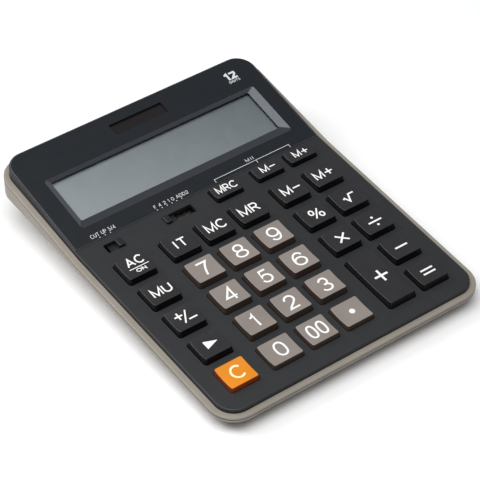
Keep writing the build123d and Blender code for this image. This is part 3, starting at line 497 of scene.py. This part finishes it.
def arrow(cx, cy, w, h):
    """Filled triangle that points right."""
    half_steps = 8
    back = cx - w / 2
    ladder = []
    for i in range(2 * half_steps + 1):
        t = i / half_steps - 1
        y = cy + t * h / 2
        tip = max(cx + w / 2 - w * abs(t), back + 0.02)
        ladder.append((Vector((back, y)), Vector((tip, y))))
    return ladder, False


def bar(cx, cy, w, h):
    """Straight stroke of width w and height h about a point."""
    return stations([(cx - w / 2, cy), (cx + w / 2, cy)], h)


def print_on(name, node, slope, centre, ladders, material, body):
    """Thin printed film that follows the surface of a node along the slope's normal."""
    me = nodes[node].data
    tree = BVHTree.FromPolygons([v.co for v in me.vertices], [tuple(p.vertices) for p in me.polygons])
    verts, faces = [], []
    for index, (ladder, closed) in enumerate(ladders):
        rise = INK_RISE + INK_STEP * index
        start = len(verts)
        for pair in ladder:
            ring = []
            for p in pair:
                top = slope.point(centre[0] + p.x, centre[1] + p.y, PROBE_HEIGHT)
                hit = tree.ray_cast(top, -slope.normal)[0]
                if hit is None:
                    hit = slope.point(centre[0] + p.x, centre[1] + p.y, 0.0)
                ring.append(hit)
            left, right = ring
            verts += [
                left + slope.normal * rise * MM, right + slope.normal * rise * MM,
                right - slope.normal * INK_SINK * MM, left - slope.normal * INK_SINK * MM,
            ]
        count = len(ladder)
        spans = count if closed else count - 1
        for i in range(spans):
            a, b = start + 4 * i, start + 4 * ((i + 1) % count)
            for k in range(4):
                faces.append((a + k, a + (k + 1) % 4, b + (k + 1) % 4, b + k))
        if not closed:
            last = start + 4 * (count - 1)
            faces.append((start + 3, start + 2, start + 1, start))
            faces.append((last, last + 1, last + 2, last + 3))
    mesh = bpy.data.meshes.new(name)
    mesh.from_pydata([tuple(v) for v in verts], [], faces)
    mesh.validate()
    mesh.materials.append(material)
    obj = bpy.data.objects.new(name, mesh)
    scene.collection.objects.link(obj)
    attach(obj, body)


def centre_of(node, slope):
    """Middle of a node across and along a slope, in millimetres."""
    pts = [slope.local(v.co) for v in nodes[node].data.vertices]
    xs, ss = [p[0] for p in pts], [p[1] for p in pts]
    return (min(xs) + max(xs)) / 2, (min(ss) + max(ss)) / 2


def text(words, x, s, width, height, stroke, gap=GAP):
    """Ladders of a line of text in a box about (x, s), in millimetres."""
    return [stations([(px + x, py + s) for px, py in line], stroke)
            for line in lay_out(words, width, height, stroke, gap)]


DIGIT = 0.98             # stroke widths of the legends
CAPS = 0.78
SMALL_CAPS = 0.62
LEGENDS = {
    "key_7": text("7", 0.1, 0.1, 6.3, 9.0, DIGIT),
    "key_8": text("8", 0.4, 0.1, 6.6, 9.0, DIGIT),
    "key_9": text("9", 0.35, 0.1, 6.5, 9.0, DIGIT),
    "key_4": text("4", 0.0, 0.0, 6.8, 8.8, DIGIT),
    "key_5": text("5", 0.5, 0.0, 6.0, 8.6, DIGIT),
    "key_6": text("6", 0.2, 0.0, 6.8, 8.8, DIGIT),
    "key_1": text("1", -0.7, 0.1, 3.0, 8.6, DIGIT),
    "key_2": text("2", 0.2, 0.1, 6.0, 8.8, DIGIT),
    "key_3": text("3", 0.15, 0.1, 5.9, 8.8, DIGIT),
    "key_0": text("0", 0.6, 0.3, 6.2, 8.8, DIGIT),
    "key_00": text("0", -2.6, 0.2, 4.75, 8.4, 1.0) + text("0", 3.0, 0.2, 4.75, 8.4, 1.0),
    "key_point": [disc(0.5, 0.3, 1.45)],
    "key_clear": text("C", 0.6, 0.3, 7.0, 8.0, 1.1),
    "key_all_clear": text("AC", 1.15, 2.75, 9.7, 5.3, CAPS) + [bar(1.2, -1.3, 10.8, 0.45)]
    + text("ON", 1.05, -3.4, 5.5, 2.4, 0.45),
    "key_item_count": text("IT", 0.6, 0.35, 7.0, 5.9, CAPS, 0.36),
    "key_memory_clear": text("MC", 0.75, 0.35, 11.3, 5.9, CAPS),
    "key_memory_recall": text("MR", 0.3, 0.35, 11.0, 5.9, CAPS),
    "key_memory_minus": text("M-", 0.85, 0.2, 11.1, 5.6, CAPS),
    "key_memory_plus": text("M+", 0.55, 0.2, 11.1, 5.6, CAPS),
    "key_markup": text("MU", 0.9, 0.1, 10.8, 5.6, CAPS),
    "key_percent": [stations(arc(-1.45, 1.4, 1.15, 1.45, 90, 450, 15), 0.8),
                    stations(arc(2.95, -1.7, 1.15, 1.45, 90, 450, 15), 0.8),
                    stations([(-1.2, -3.1), (2.7, 2.8)], 0.8)],
    "key_root": [stations([(-2.9, -0.2), (-1.9, 0.4), (-0.5, -2.7), (1.4, 2.0), (4.4, 2.0)], 0.85)],
    "key_sign": [bar(-2.35, 1.8, 4.3, 0.85), stations([(-2.35, -0.35), (-2.35, 3.95)], 0.85),
                 stations([(-1.6, -3.3), (2.4, 3.7)], 0.75), bar(3.3, -2.1, 4.5, 0.85)],
    "key_multiply": [stations([(-1.9, -2.8), (3.4, 2.3)], 0.95), stations([(-1.9, 2.3), (3.4, -2.8)], 0.95)],
    "key_divide": [bar(0.65, -0.2, 7.7, 0.95), disc(0.65, 2.45, 0.68), disc(0.65, -2.9, 0.68)],
    "key_backspace": [arrow(0.8, 0.4, 6.8, 4.9)],
    "key_minus": [bar(0.45, -0.3, 7.2, 1.0)],
    "key_plus": [bar(0.5, 0.1, 7.5, 1.15), stations([(0.5, -3.65), (0.5, 3.85)], 1.15)],
    "key_equals": [bar(0.55, 1.2, 7.1, 0.95), bar(0.55, -1.3, 7.1, 0.95)],
    "key_second_recall": text("MRC", 0.75, 0.7, 12.0, 4.6, SMALL_CAPS, 0.26),
    "key_second_minus": text("M-", 1.05, 0.5, 8.9, 4.4, SMALL_CAPS),
    "key_second_plus": text("M+", 0.75, 0.3, 8.9, 4.4, SMALL_CAPS),
}
for key, ladders in LEGENDS.items():
    film = INK_CREAM if key == "key_clear" else INK_WHITE
    print_on(key.replace("key_", "legend_"), key, KEYPAD, centre_of(key, KEYPAD), ladders, film, key)

# Printing on the display panel: scales of the two slide switches, memory bracket, digit count.
SCALE_STROKE = 0.26
rounding_scale = text("CUT UP 5/4", -55.0, 6.75, 14.0, 2.3, SCALE_STROKE)
rounding_scale += [disc(x, 4.7, 0.28) for x in (-58.0, -55.0, -52.0)]
decimal_scale = text("F 4 2 1 0 ADD2", -15.3, 6.65, 20.0, 2.1, SCALE_STROKE)
decimal_scale += [disc(x, 4.7, 0.28) for x in (-24.7, -21.9, -18.9, -16.1, -13.3, -10.3)]
bracket = [stations([(10.2, 4.3), (10.2, 6.2), (56.0, 6.2), (56.0, 4.3)], 0.28),
           stations([(35.7, 6.2), (35.7, 4.3)], 0.28)]
bracket += text("MII", 33.1, 8.2, 4.6, 2.0, SCALE_STROKE, 0.55)
digits = [stations([(54.5, 59.5), (55.9, 60.2), (55.9, 55.8)], 1.15),
          stations([(57.4, 59.9), (60.4, 59.9), (60.4, 58.8), (57.9, 56.4), (60.9, 56.4)], 1.1)]
digits += text("DIGITS", 57.65, 54.5, 6.5, 1.5, 0.26)
for name, ladders in (
    ("print_rounding_scale", rounding_scale), ("print_decimal_scale", decimal_scale),
    ("print_memory_bracket", bracket), ("print_digit_count", digits),
):
    print_on(name, "display_panel", PANEL, (0.0, 0.0), ladders, INK_PANEL, "housing")


# ----------------------------------------------------------- floor, light, camera
def stage_plane(name, size, material):
    """Large flat floor, a hair under the feet."""
    mesh = bpy.data.meshes.new(name)
    half, drop = size / 2, 0.00005
    corners = [(-half, -half, -drop), (half, -half, -drop), (half, half, -drop), (-half, half, -drop)]
    mesh.from_pydata(corners, [], [(0, 1, 2, 3)])
    mesh.materials.append(material)
    obj = bpy.data.objects.new(name, mesh)
    scene.collection.objects.link(obj)


floor_mat = Mat("floor_paper")
floor_tone = floor_mat.ramp(floor_mat.noise(60.0), 0.0, 1.0)
floor_mat.colour(floor_mat.mix(floor_tone, (0.90, 0.90, 0.90, 1), (0.93, 0.93, 0.93, 1)))
floor_mat.rough(floor_mat.ramp(floor_mat.noise(2.0), 0.85, 0.95))
floor_mat.put(Specular_IOR_Level=0.1)
stage_plane("floor", 8.0, floor_mat.m)


def softbox(name, place, width, height, power):
    """Rectangular lamp turned to the object."""
    light = bpy.data.lights.new(name, "AREA")
    light.shape = "RECTANGLE"
    light.size, light.size_y = width, height
    light.energy = power
    obj = bpy.data.objects.new(name, light)
    scene.collection.objects.link(obj)
    obj.location = place
    obj.rotation_mode = "QUATERNION"
    obj.rotation_quaternion = (-Vector(place)).to_track_quat("-Z", "Y")


softbox("softbox_top", (-0.25, -0.10, 1.30), 1.4, 1.1, 18.0)
softbox("softbox_back_left", (-0.80, 0.90, 0.95), 0.8, 0.6, 9.0)

world = bpy.data.worlds.new("studio")
scene.world = world
world.use_nodes = True
background = world.node_tree.nodes["Background"]
background.inputs[0].default_value = (0.95, 0.97, 1.0, 1.0)
background.inputs[1].default_value = 0.22

scene.view_settings.view_transform = "Standard"
scene.view_settings.look = "None"

CAMERA_PLACE = Vector((-0.4618, -0.6260, 0.7088))
AZIMUTH = math.radians(36.546)
ELEVATION = math.radians(41.939)
back = Vector((
    -math.sin(AZIMUTH) * math.cos(ELEVATION), -math.cos(AZIMUTH) * math.cos(ELEVATION), math.sin(ELEVATION)
))
right = Vector((math.cos(AZIMUTH), -math.sin(AZIMUTH), 0.0))
up = back.cross(right)
camera = bpy.data.cameras.new("camera")
camera.sensor_width = 36.0
camera.lens = 162.708
camera.clip_start, camera.clip_end = 0.02, 20.0
camera_obj = bpy.data.objects.new("camera", camera)
scene.collection.objects.link(camera_obj)
camera_obj.matrix_world = Matrix.Translation(CAMERA_PLACE) @ Matrix((
    (right.x, up.x, back.x, 0.0),
    (right.y, up.y, back.y, 0.0),
    (right.z, up.z, back.z, 0.0),
    (0.0, 0.0, 0.0, 1.0),
))
scene.camera = camera_obj

bpy.context.view_layer.update()
